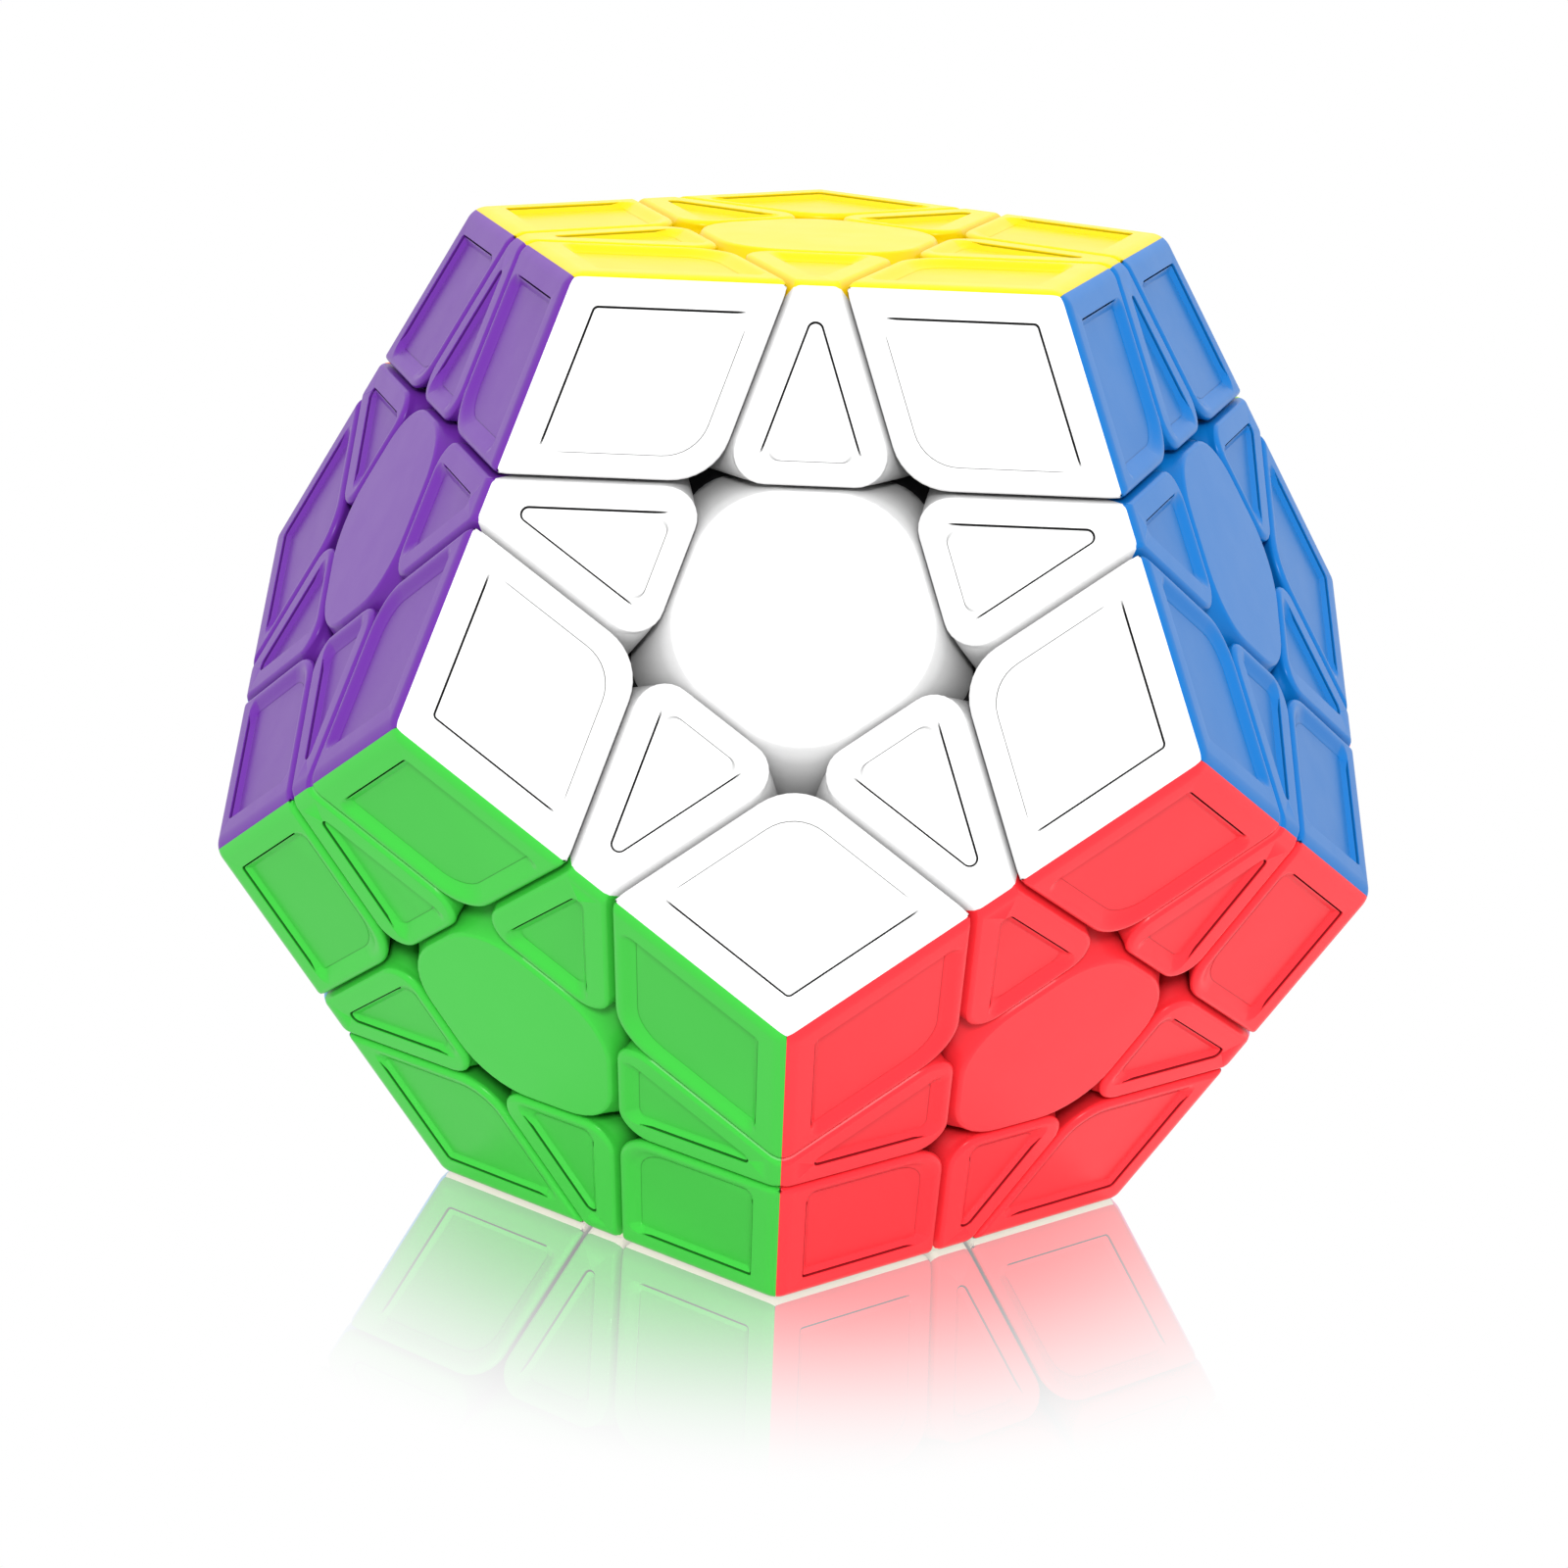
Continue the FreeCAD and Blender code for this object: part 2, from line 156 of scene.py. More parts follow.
def crossing(azimuth_a, distance_a, azimuth_b, distance_b):
    """Point at two distances from the centre, each measured along its azimuth."""
    (ax, ay), (bx, by) = heading(azimuth_a), heading(azimuth_b)
    cross = ax * by - ay * bx
    return np.array(((distance_a * by - distance_b * ay) / cross,
                     (distance_b * ax - distance_a * bx) / cross))


def smooth(value):
    value = min(max(value, 0.0), 1.0)
    return value * value * (3 - 2 * value)


def arc_drop(radius, reach):
    """Height lost on a rounded edge, at a reach past the line where the rounding starts."""
    reach = min(max(reach, 0.0), STEEPEST_REACH * radius)
    return radius - math.sqrt(radius ** 2 - reach ** 2)


def outer_drop(point):
    """Height lost at a point of the face by the rounding of the dodecahedron's edges."""
    flat = APOTHEM - OUTER_SETBACK
    half_edge = flat * math.tan(STEP / 2)
    reaches = []
    outside = False
    for k in range(SIDES):
        across = point @ heading(STEP * k - math.pi / 2) - flat
        along = abs(point @ heading(STEP * k))
        outside = outside or across > 0
        reaches.append(math.hypot(across, max(0.0, along - half_edge)))
    return arc_drop(OUTER_ROUND, min(reaches)) if outside else 0.0


def sphere_depth(point):
    return INRADIUS - math.sqrt(SHELL_BOTTOM ** 2 - point @ point)


class Side:
    """A side of a ring, at an outward distance along its azimuth and a depth."""

    def __init__(self, azimuth, distance, depth=0.0, slope=0.0, ends=None, on_sphere=False,
                 painted_shade=0.0, end_shades=None):
        self.azimuth = azimuth
        self.distance = distance
        self.depth = depth
        self.slope = slope                  # change of the distance with the depth
        self.ends = ends or (depth, depth)  # depths at its start and its end
        self.on_sphere = on_sphere
        self.on_seam = float(slope in (SEAM_SLOPE, 0.0))    # or on the face itself
        self.painted_shade = painted_shade                  # painted shade: how much the colour is darkened, from 0 to 1
        self.end_shades = end_shades or (painted_shade, painted_shade)

    def reach(self, depth):
        return self.distance + self.slope * (depth - self.depth)


class Ring:
    """Sides in anticlockwise order. Corner k lies between side k and the next."""

    def __init__(self, sides, radii, fade=None, walls=()):
        self.sides = sides
        self.radii = radii
        self.fade = fade        # length over which a side takes its own depth from its ends
        self.walls = walls      # walls whose rims also lower the sides on the seams

    def corner(self, index, depth):
        """Centre of a corner's arc, as the corner lies at a depth."""
        side = self.sides[index]
        following = self.sides[(index + 1) % len(self.sides)]
        radius = self.radii[index]
        return crossing(side.azimuth, side.reach(depth) - radius,
                        following.azimuth, following.reach(depth) - radius)

    def on_side(self, index, step, depth):
        """A point of a side, its own depth and painted shade, and its weights on sphere and seam.
        """
        side = self.sides[index]
        outward = heading(side.azimuth)
        start = self.corner(index - 1, depth) + self.radii[index - 1] * outward
        end = self.corner(index, depth) + self.radii[index] * outward
        length = max(np.linalg.norm(end - start), 1e-6)
        scale = min(1.0, END_SHARE * length / END_STEPS[-1])
        near = [scale * value for value in END_STEPS]
        middle = [near[-1] + (length - 2 * near[-1]) * value for value in MIDDLE_STEPS[1:-1]]
        travel = (near + middle + [length - value for value in reversed(near)])[step]
        if self.fade is None:
            near_start, near_end = 1 - travel / length, travel / length
        else:
            near_start = 1 - smooth(travel / self.fade)
            near_end = 1 - smooth((length - travel) / self.fade)
        own = (side.depth + (side.ends[0] - side.depth) * near_start
               + (side.ends[1] - side.depth) * near_end)
        painted_shade = (side.painted_shade + (side.end_shades[0] - side.painted_shade) * near_start
                 + (side.end_shades[1] - side.painted_shade) * near_end)
        point = start + (end - start) * travel / length
        return point, own, painted_shade, float(side.on_sphere), side.on_seam

    def on_arc(self, index, step, depth):
        """The same for a point of a corner's arc."""
        side = self.sides[index]
        following = self.sides[(index + 1) % len(self.sides)]
        swing = (following.azimuth - side.azimuth) % (2 * math.pi)
        part = step / ARC_STEPS
        outward = heading(side.azimuth + swing * part)
        point = self.corner(index, depth) + self.radii[index] * outward
        own = side.ends[1] * (1 - part) + following.ends[0] * part
        painted_shade = side.end_shades[1] * (1 - part) + following.end_shades[0] * part
        on_sphere = side.on_sphere * (1 - part) + following.on_sphere * part
        on_seam = side.on_seam * (1 - part) + following.on_seam * part
        return point, own, painted_shade, on_sphere, on_seam

    def settle(self, place, index, step):
        """The point where a ring's own depth, the rounded edges and the sloping walls agree."""
        depth = 0.0
        for _ in range(SETTLING_ROUNDS):
            point, own, painted_shade, on_sphere, on_seam = place(index, step, depth)
            rim = max([wall.rim_drop(point) for wall in self.walls], default=0.0)
            surface = own + outer_drop(point) + on_seam * rim
            depth = (1 - on_sphere) * surface + on_sphere * sphere_depth(point)
        return point[0], point[1], -depth, painted_shade

    def points(self):
        """Rows of a point's three coordinates and its painted shade."""
        found = []
        side_steps = 2 * len(END_STEPS) + len(MIDDLE_STEPS) - 2
        for index in range(len(self.sides)):
            found += [self.settle(self.on_side, index, step) for step in range(side_steps)]
            found += [self.settle(self.on_arc, index, step) for step in range(ARC_STEPS + 1)]
        return np.array(found)


class Wall:
    """A wall along a cut plane: its azimuth, its distance at the face and its lean."""

    def __init__(self, azimuth, distance, slope, deepest=TILE_WALL_SHADE):
        self.azimuth = azimuth
        self.distance = distance
        self.slope = slope
        self.deepest = deepest      # how much painted shade darkens the wall at its foot

    def rim_drop(self, point):
        inset = self.distance - point @ heading(self.azimuth)
        longest = RIM_ROUND * math.sin(min(TURNS[self.slope], STEEPEST_TURN))
        return arc_drop(RIM_ROUND, min(SETBACKS[self.slope] - inset, longest))

    # Painted shade that deepens down the wall, into the gap
    def painted_shade(self, depth):
        return self.deepest * smooth(depth / SHADE_DEPTH)

    def rim(self, part):
        """Side of a rim ring, from the flat top at 0 to the wall at 1."""
        angle = TURNS[self.slope] * part
        inset = SETBACKS[self.slope] - RIM_ROUND * math.sin(angle)
        depth = RIM_ROUND * (1 - math.cos(angle))
        return Side(self.azimuth, self.distance - inset, depth, self.slope,
                    painted_shade=self.painted_shade(depth))

    def at_depth(self, depth, inset=0.0):
        distance = self.distance - inset + self.slope * depth
        return Side(self.azimuth, distance, depth, self.slope, painted_shade=self.painted_shade(depth))

    def at_sphere(self, inset=0.0):
        return Side(self.azimuth, self.distance - inset, 0.0, self.slope, on_sphere=True,
                    painted_shade=self.deepest)


class Seam:
    """A side on one of the dodecahedron's own edges, where two faces meet."""

    def __init__(self, azimuth):
        self.azimuth = azimuth

    def rim(self, part):
        if part == 1:
            return self.at_depth(0.0)
        reach = OUTER_ROUND * math.sin(FACE_ANGLE / 2 * part)
        return Side(self.azimuth, APOTHEM - OUTER_SETBACK + reach)

    def at_depth(self, depth, inset=0.0):
        return Side(self.azimuth, APOTHEM - inset + SEAM_SLOPE * depth, depth, SEAM_SLOPE)

    def at_sphere(self, inset=0.0):
        return self.at_depth(PLATE, SEAM_THICKNESS * inset)


def shell_rings(sides, radii, foot_radii):
    """Rings of a hollow shell, from the underside of its plate to its flat top."""
    walls = [side for side in sides if isinstance(side, Wall)]
    inner = [max(radius - WALL, SEAM_ROUND) for radius in foot_radii]
    flared = [(1 - FLARE_SHARE) * radius + FLARE_SHARE * foot
              for radius, foot in zip(radii, foot_radii)]
    rim_depth = RIM_ROUND * (1 - math.cos(max(TURNS.values())))
    rings = [Ring([side.at_depth(PLATE, WALL_ON_FACE) for side in sides], inner),
             Ring([side.at_sphere(WALL_ON_FACE) for side in sides], inner),
             Ring([side.at_sphere() for side in sides], foot_radii),
             Ring([side.at_depth(FLARE_DEPTH) for side in sides], flared, walls=walls),
             Ring([side.at_depth(rim_depth + STRAIGHT_WALL) for side in sides], radii,
                  walls=walls)]
    support = []
    for side in sides:
        depth = rim_depth if isinstance(side, Wall) else SEAM_SUPPORT
        support.append(side.at_depth(depth + SEAM_SUPPORT))
    rings.append(Ring(support, radii, walls=walls))
    for step in reversed(range(RIM_STEPS + 1)):
        part = step / RIM_STEPS
        shrunk = [max(radius - (1 - part) * RIM_ROUND, SEAM_ROUND) for radius in radii]
        rings.append(Ring([side.rim(part) for side in sides], shrunk, walls=walls))
    return rings


def recess_steps(crease_shade):
    """Rows of the two profiles side by side, and the depth where a lip runs out."""
    # Painted shade in the crease at the foot of the slope
    crease = [(offset, CREASE_DEPTH, crease_shade) for offset in CREASE_OFFSETS]
    slopes = [*SLOPE_PROFILE, *crease, (CREASE_OFFSETS[1], RECESS_DEPTH, FLOOR_SHADE)]
    for (offset, depth, dark), (slope_offset, slope, slope_dark) in zip(LIP_PROFILE, slopes):
        plain = RECESS_DEPTH * smooth(offset / LIP_PROFILE[-1][0])
        yield offset, depth, dark, slope_offset, slope, slope_dark, plain


def corner_tile(crease_shade):
    """Tile at the vertex at azimuth 90: two seams, then two walls around the inner corner."""
    outer = [math.pi / 2 - STEP / 2, math.pi / 2 + STEP / 2]
    inner = [outer[0] + math.pi, outer[1] + math.pi]
    sides = [Seam(azimuth) for azimuth in outer] + [Wall(a, LOW, LOW_SLOPE) for a in inner]
    radii = (SEAM_ROUND, SEAM_ROUND, CORNER_ROUND, SEAM_ROUND)
    rings = shell_rings(sides, radii, radii)
    steps = recess_steps(crease_shade)
    for offset, depth, dark, slope_offset, slope, slope_dark, plain in steps:
        at_edge = APOTHEM - LIP_FROM_EDGE - offset
        at_cut = -(CUT_ON_FACE + SLOPE_FROM_CUT + slope_offset)
        sides = [Side(outer[0], at_edge, depth, ends=(plain, depth),
                      painted_shade=dark, end_shades=(0, dark)),
                 Side(outer[1], at_edge, depth, ends=(depth, plain),
                      painted_shade=dark, end_shades=(dark, 0)),
                 Side(inner[0], at_cut, slope, painted_shade=slope_dark, end_shades=(0, slope_dark)),
                 Side(inner[1], at_cut, slope, painted_shade=slope_dark, end_shades=(slope_dark, 0))]
        radii = [max(radius - offset, SHARPEST) for radius in RECESS_CORNER_ROUNDS]
        radii[2] = RECESS_CORNER_ROUNDS[2] - INNER_CORNER_SHRINK * slope_offset
        rings.append(Ring(sides, radii, fade=LIP_FADE))
    return rings


def edge_tile(crease_shade):
    """Tile at the edge at azimuth -90: a seam, a long wall, the base and a long wall."""
    outer = -math.pi / 2
    right, base, left = outer + STEP, outer + math.pi, outer - STEP
    sides = [Seam(outer), Wall(right, HIGH, HIGH_SLOPE), Wall(base, LOW, LOW_SLOPE),
             Wall(left, HIGH, HIGH_SLOPE)]
    rings = shell_rings(sides, (SEAM_ROUND, EDGE_TILE_ROUND, EDGE_TILE_ROUND, SEAM_ROUND),
                        (SEAM_ROUND, EDGE_TILE_FOOT_ROUND, EDGE_TILE_FOOT_ROUND, SEAM_ROUND))
    steps = recess_steps(crease_shade)
    for offset, depth, dark, slope_offset, slope, slope_dark, plain in steps:
        at_side = CUT_ON_FACE - LIP_FROM_CUT - offset
        tip = max(TIP_ROUND - offset, SHARPEST_TIP)
        at_tip = (at_side - tip) / math.cos(STEP) + tip
        at_base = -(CUT_ON_FACE + SLOPE_FROM_CUT + slope_offset)
        sides = [Side(outer, at_tip, depth, painted_shade=dark),
                 Side(right, at_side, depth, ends=(depth, plain),
                      painted_shade=dark, end_shades=(dark, 0)),
                 Side(base, at_base, slope, painted_shade=slope_dark),
                 Side(left, at_side, depth, ends=(plain, depth),
                      painted_shade=dark, end_shades=(0, dark))]
        rings.append(Ring(sides, (tip, RECESS_BASE_ROUND, RECESS_BASE_ROUND, tip), fade=LIP_FADE))
    return rings


def cap():
    """Flat cap with a skirt that follows the five cut planes down and flares at its corners."""
    sides = [Wall(STEP * k - math.pi / 2, HIGH, HIGH_SLOPE, CAP_WALL_SHADE)
             for k in range(SIDES)]
    return shell_rings(sides, [CAP_ROUND] * SIDES, [CAP_FOOT_ROUND] * SIDES)


def loft(rings):
    """Points, their painted shades and the faces of a body over rings, closed at both ends."""
    layers = [ring.points() for ring in rings]
    size = len(layers[0])
    faces = [tuple(reversed(range(size)))]
    for level in range(len(layers) - 1):
        low = level * size
        high = low + size
        for k in range(size):
            following = (k + 1) % size
            faces.append((low + k, low + following, high + following, high + k))
    last = (len(layers) - 1) * size
    faces.append(tuple(range(last, last + size)))
    rows = np.concatenate(layers)
    return rows[:, :3], rows[:, 3], faces


def weighted_normals(points, faces):
    """Normal of every point, in which large faces count more, so that flat faces stay flat."""
    normals = np.zeros_like(points)
    for face in faces:
        corners = points[list(face)]
        area = np.cross(corners, np.roll(corners, -1, axis=0)).sum(axis=0)
        normals[list(face)] += area
    lengths = np.linalg.norm(normals, axis=1, keepdims=True)
    return normals / np.maximum(lengths, 1e-12)


def shape(rings):
    """Points, painted shades, faces and normals, as add_piece takes them."""
    points, shades, faces = loft(rings)
    return points, shades, faces, weighted_normals(points, faces)


# Faces by colour, with the turn that carries the top face to each. Rings run anticlockwise.
def turn(angle, axis):
    return Matrix.Rotation(angle, 3, axis)


UPPER_RING = ("white", "blue", "lime", "orange", "purple")
LOWER_RING = ("red", "pink", "grey", "light_blue", "green")
FACES = {"yellow": Matrix.Identity(3), "cream": turn(math.pi, "X")}
for place, colour in enumerate(UPPER_RING):
    FACES[colour] = turn(STEP * place, "Z") @ turn(FACE_ANGLE, "X") @ turn(math.pi, "Z")
for place, colour in enumerate(LOWER_RING):
    FACES[colour] = turn(STEP * (place + 0.5), "Z") @ turn(math.pi - FACE_ANGLE, "X")
LAYERS = {"white": "front", "cream": "bottom", "orange": "rear"}
TOUCHING = 0.7              # cosine that separates the faces of a piece from the other faces


def layer_at(direction):
    """Name of the layer that a piece in this direction belongs to."""
    for colour, layer in LAYERS.items():
        if (FACES[colour] @ Vector((0, 0, 1))).dot(direction) > TOUCHING:
            return layer
    return "main"


def add_piece(name, node, body, copies, material):
    """One object from copies of shapes, each with its turn, which stands for a CAD node."""
    points = []
    normals = []
    shades = []
    faces = []
    for (shape_points, shape_shades, shape_faces, shape_normals), rotation in copies:
        matrix = np.array(rotation)
        first = sum(len(block) for block in points)
        placed = (shape_points + (0, 0, INRADIUS)) @ matrix.T + (0, 0, INRADIUS)
        points.append(placed * MM)
        normals.append(shape_normals @ matrix.T)
        shades.append(shape_shades)
        faces += [tuple(first + k for k in face) for face in shape_faces]
    mesh = bpy.data.meshes.new(name)
    mesh.from_pydata(np.concatenate(points).tolist(), [], faces)
    mesh.polygons.foreach_set("use_smooth", [True] * len(mesh.polygons))
    mesh.normals_split_custom_set_from_vertices(np.concatenate(normals).tolist())
    # Painted shade of every point, by which the plastics darken their colour
    painted_shade = mesh.attributes.new("painted_shade", "FLOAT", "POINT")
    painted_shade.data.foreach_set("value", np.concatenate(shades).astype(np.float32))
    mesh.materials.append(material)
    piece = bpy.data.objects.new(name, mesh)
    bpy.context.scene.collection.objects.link(piece)
    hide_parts(node)
    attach(piece, body)


# Materials
SPECULAR = 0.17
PLASTIC_ROUGHNESS = 0.3
PLASTIC_GRAIN = 0.04        # strength of the skin's bumps
COLOUR_VARIATION = 0.015
ROUGHNESS_VARIATION = 0.02
CLOUDS_PER_METRE = 55.0
PATCHES_PER_METRE = 240.0
BUMPS_PER_METRE = 4200.0
BUMP_HEIGHT = 0.00002
NOISE_SPREAD = (0.3, 0.7)   # where most of a noise's values lie
MIX_COLOUR_A = 6            # places of the colour sockets on a mix node
MIX_COLOUR_B = 7
MIX_RESULT = 2
# Share of its colour that a surface keeps under full painted shade
DEEPEST = {"white": 0.08, "yellow": 0.6, "blue": 0.65, "purple": 0.6}
DEEPEST_ELSEWHERE = 0.3


def new_material(name):
    material = bpy.data.materials.new(name)
    material.use_nodes = True
    return material, material.node_tree.nodes, material.node_tree.links


def noise(nodes, links, coordinates, scale, detail=2.0):
    texture = nodes.new("ShaderNodeTexNoise")
    texture.inputs["Scale"].default_value = scale
    texture.inputs["Detail"].default_value = detail
    links.new(coordinates.outputs["Object"], texture.inputs["Vector"])
    return texture.outputs["Fac"]


def ranged(nodes, links, value, low, high):
    """Noise carried from its usual spread to a range."""
    spread = nodes.new("ShaderNodeMapRange")
    spread.inputs["From Min"].default_value = NOISE_SPREAD[0]
    spread.inputs["From Max"].default_value = NOISE_SPREAD[1]
    spread.inputs["To Min"].default_value = low
    spread.inputs["To Max"].default_value = high
    links.new(value, spread.inputs["Value"])
    return spread.outputs["Result"]


def mixed(nodes, links, factor, colour_a, colour_b):
    """Mix of two colours. Each is three numbers or the output of a node."""
    mix = nodes.new("ShaderNodeMix")
    mix.data_type = "RGBA"
    for colour, place in ((colour_a, MIX_COLOUR_A), (colour_b, MIX_COLOUR_B)):
        if isinstance(colour, bpy.types.NodeSocket):
            links.new(colour, mix.inputs[place])
        else:
            mix.inputs[place].default_value = (*colour, 1)
    links.new(factor, mix.inputs[0])
    return mix.outputs[MIX_RESULT]


def moulded(name, colour, roughness, grain, deepest=DEEPEST_ELSEWHERE):
    """Moulded plastic: faintly clouded, painted shade in grooves and gaps, uneven gloss, fine
    skin.
    """
    material, nodes, links = new_material(name)
    shader = nodes["Principled BSDF"]
    coordinates = nodes.new("ShaderNodeTexCoord")
    clouds = noise(nodes, links, coordinates, CLOUDS_PER_METRE, 3.0)
    clouded = mixed(nodes, links, ranged(nodes, links, clouds, 0.0, 1.0),
                    [value * (1 - COLOUR_VARIATION) for value in colour],
                    [value * (1 + COLOUR_VARIATION) for value in colour])
    # Painted shade: the colour is mixed towards a darker copy by the mesh's painted shade values
    painted_shade = nodes.new("ShaderNodeAttribute")
    painted_shade.attribute_name = "painted_shade"
    deep = [value * deepest for value in colour]
    links.new(mixed(nodes, links, painted_shade.outputs["Fac"], clouded, deep),
              shader.inputs["Base Color"])
    shader.inputs["Specular IOR Level"].default_value = SPECULAR
    patches = noise(nodes, links, coordinates, PATCHES_PER_METRE)
    links.new(ranged(nodes, links, patches, roughness - ROUGHNESS_VARIATION,
                     roughness + ROUGHNESS_VARIATION), shader.inputs["Roughness"])
    skin = noise(nodes, links, coordinates, BUMPS_PER_METRE)
    bump = nodes.new("ShaderNodeBump")
    bump.inputs["Strength"].default_value = grain
    bump.inputs["Distance"].default_value = BUMP_HEIGHT
    links.new(skin, bump.inputs["Height"])
    links.new(bump.outputs["Normal"], shader.inputs["Normal"])
    return material


COLOURS = {
    "white": (0.82, 0.82, 0.82), "yellow": (0.82, 0.60, 0.002), "blue": (0.003, 0.155, 0.49),
    "purple": (0.13, 0.022, 0.31), "red": (0.88, 0.030, 0.041), "green": (0.043, 0.51, 0.047),
    "cream": (0.84, 0.80, 0.64), "lime": (0.30, 0.62, 0.01), "orange": (0.86, 0.16, 0.005),
    "pink": (0.86, 0.16, 0.34), "grey": (0.20, 0.21, 0.23), "light_blue": (0.14, 0.48, 0.74)}
plastics = {colour: moulded(f"{colour}_plastic", value, PLASTIC_ROUGHNESS, PLASTIC_GRAIN,
                            DEEPEST.get(colour, DEEPEST_ELSEWHERE))
            for colour, value in COLOURS.items()}
black_plastic = moulded("black_plastic", (0.012, 0.012, 0.013), 0.5, 0.5)
steel = moulded("zinc_plated_steel", (0.62, 0.62, 0.64), 0.28, 0.6)
steel.node_tree.nodes["Principled BSDF"].inputs["Metallic"].default_value = 1.0

# Pieces
cap_shape = shape(cap())
# Tiles are made once for each strength of painted shade in their creases
tile_shapes = {crease_shade: {"edge": shape(edge_tile(crease_shade)),
                              "corner": shape(corner_tile(crease_shade))}
               for crease_shade in (*CREASE_SHADES.values(), CREASE_SHADE_ELSEWHERE)}

body_of = {name: body for body, names in frame["record"]["behaviour"]["bodies"].items()
           for name in names}
EDGE_DIRECTION = Vector((0, -math.sin(FACE_ANGLE / 2), math.cos(FACE_ANGLE / 2)))
CORNER_DIRECTION = Vector((0, EDGE / (2 * math.sin(STEP / 2)), INRADIUS)).normalized()
groups = {}
for colour, face_turn in FACES.items():
    groups[f"{colour}_centre_cap"] = (colour, [(cap_shape, face_turn)])
    shapes = tile_shapes[CREASE_SHADES.get(colour, CREASE_SHADE_ELSEWHERE)]
    for kind, direction in (("edge", EDGE_DIRECTION), ("corner", CORNER_DIRECTION)):
        for k in range(SIDES):
            rotation = face_turn @ turn(STEP * k, "Z")
            node = f"{layer_at(rotation @ direction)}_{colour}_shells"
            if colour in LAYERS:
                node = node.replace("shells", f"{kind}_shells")
            groups.setdefault(node, (colour, []))[1].append((shapes[kind], rotation))
for node, (colour, copies) in groups.items():
    name = node.replace("centre_cap", "cap").replace("shells", "tiles")
    add_piece(name, node, body_of[node], copies, plastics[colour])

for name, node in frame["nodes"].items():
    if node.hide_render:
        continue
    material = steel if name in ("screws", "washers", "springs") else black_plastic
    node.data.materials.clear()
    node.data.materials.append(material)

# Floor, in metres
FLOOR_RADIUS = 6.0
FLOOR_POINTS = 96
FLOOR_DROP = 0.00002        # keeps it clear of the face that rests on it
FLOOR_ROUGHNESS = 0.02
REFLECTION = 0.68
REFLECTION_START = 0.025    # from the middle of the puzzle
REFLECTION_END = 0.058


def floor_material():
    """Evenly lit white table with a gloss that fades away from the puzzle."""
    material, nodes, links = new_material("white_table")
    nodes.remove(nodes["Principled BSDF"])
    output = nodes["Material Output"]
    coordinates = nodes.new("ShaderNodeTexCoord")
    distance = nodes.new("ShaderNodeVectorMath")
    distance.operation = "LENGTH"
    links.new(coordinates.outputs["Object"], distance.inputs[0])
    fade = nodes.new("ShaderNodeMapRange")
    fade.interpolation_type = "SMOOTHSTEP"
    fade.inputs["From Min"].default_value = REFLECTION_START
    fade.inputs["From Max"].default_value = REFLECTION_END
    fade.inputs["To Min"].default_value = REFLECTION
    fade.inputs["To Max"].default_value = 0.0
    links.new(distance.outputs["Value"], fade.inputs["Value"])
    lit = nodes.new("ShaderNodeEmission")
    lit.inputs["Strength"].default_value = 1.0
    gloss = nodes.new("ShaderNodeBsdfGlossy")
    gloss.inputs["Color"].default_value = (1, 1, 1, 1)
    gloss.inputs["Roughness"].default_value = FLOOR_ROUGHNESS
    mix = nodes.new("ShaderNodeMixShader")
    links.new(fade.outputs["Result"], mix.inputs[0])
    links.new(lit.outputs["Emission"], mix.inputs[1])
    links.new(gloss.outputs["BSDF"], mix.inputs[2])
    links.new(mix.outputs["Shader"], output.inputs["Surface"])
    return material


def add_floor():
    rim = [(*(FLOOR_RADIUS * heading(2 * math.pi * k / FLOOR_POINTS)).tolist(), 0.0)
           for k in range(FLOOR_POINTS)]
    mesh = bpy.data.meshes.new("floor")
    mesh.from_pydata(rim, [], [tuple(range(FLOOR_POINTS))])
    mesh.materials.append(floor_material())
    floor = bpy.data.objects.new("floor", mesh)
    floor.location.z = -FLOOR_DROP
    bpy.context.scene.collection.objects.link(floor)


add_floor()

# Light
CENTRE = Vector((0, 0, INRADIUS * MM))


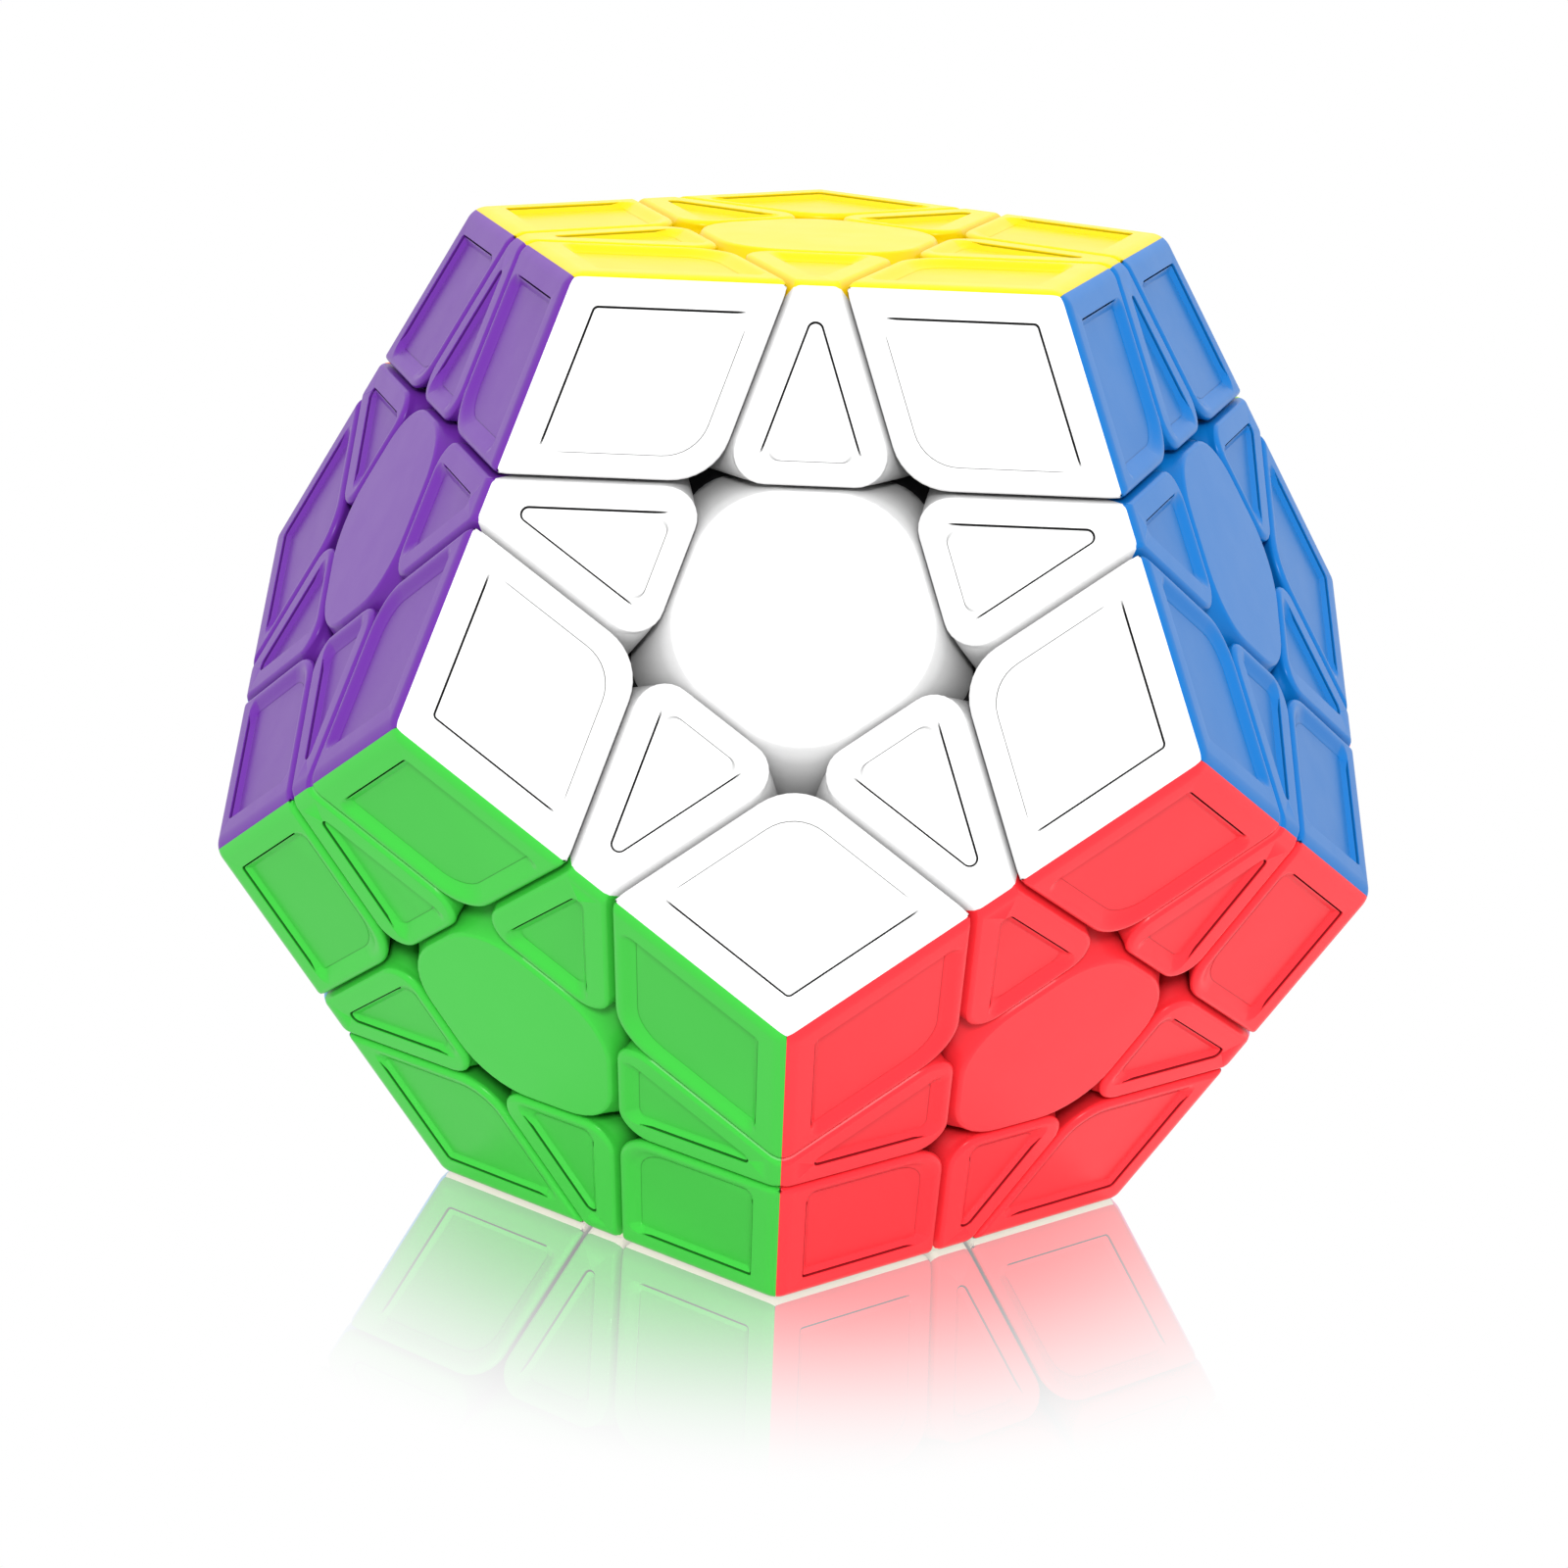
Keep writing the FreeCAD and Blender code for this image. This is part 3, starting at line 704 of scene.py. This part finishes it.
def way_to(azimuth, elevation):
    """Direction from the puzzle's centre. Azimuth 0 is the front, 90 the right."""
    a, e = math.radians(azimuth), math.radians(elevation)
    return Vector((math.sin(a) * math.cos(e), -math.cos(a) * math.cos(e), math.sin(e)))


def add_softbox(name, azimuth, elevation, distance, size, power, glossy=True):
    """Square light that faces the puzzle. Lengths are in metres, the power in watts."""
    light = bpy.data.lights.new(name, "AREA")
    light.size = size
    light.energy = power
    lamp = bpy.data.objects.new(name, light)
    way = way_to(azimuth, elevation)
    lamp.location = way * distance + CENTRE
    lamp.rotation_euler = way.to_track_quat("Z", "Y").to_euler()
    lamp.visible_camera = False
    lamp.visible_glossy = glossy
    bpy.context.scene.collection.objects.link(lamp)


add_softbox("key_light", azimuth=0, elevation=30, distance=0.9, size=0.14, power=5.0)
add_softbox("back_light", azimuth=180, elevation=40, distance=0.9, size=0.4, power=4.0,
            glossy=False)

world = bpy.data.worlds.new("studio")
world.use_nodes = True
background = world.node_tree.nodes["Background"]
background.inputs["Color"].default_value = (1, 1, 1, 1)
background.inputs["Strength"].default_value = 1.0
bpy.context.scene.world = world
bpy.context.scene.view_settings.view_transform = "Standard"

# Camera, in front of the white face and a little above. Lengths in metres, angles in degrees.
CAMERA_DISTANCE = 0.2578
CAMERA_AZIMUTH = -0.1
CAMERA_ELEVATION = 16.76
VIEW_HEADING = -0.14
VIEW_PITCH = -18.18
VIEW_ROLL = 2.3
LENS = 69.65                # these two in millimetres
SENSOR_WIDTH = 36.0


def add_camera():
    data = bpy.data.cameras.new("camera")
    data.lens = LENS
    data.sensor_width = SENSOR_WIDTH
    data.clip_start = 0.01
    camera = bpy.data.objects.new("camera", data)
    rotation = (Matrix.Rotation(-math.radians(VIEW_HEADING), 4, "Z")
                @ Matrix.Rotation(math.radians(90 + VIEW_PITCH), 4, "X")
                @ Matrix.Rotation(math.radians(VIEW_ROLL), 4, "Z"))
    place = way_to(CAMERA_AZIMUTH, CAMERA_ELEVATION) * CAMERA_DISTANCE + CENTRE
    camera.matrix_world = Matrix.Translation(place) @ rotation
    bpy.context.scene.collection.objects.link(camera)
    bpy.context.scene.camera = camera


add_camera()
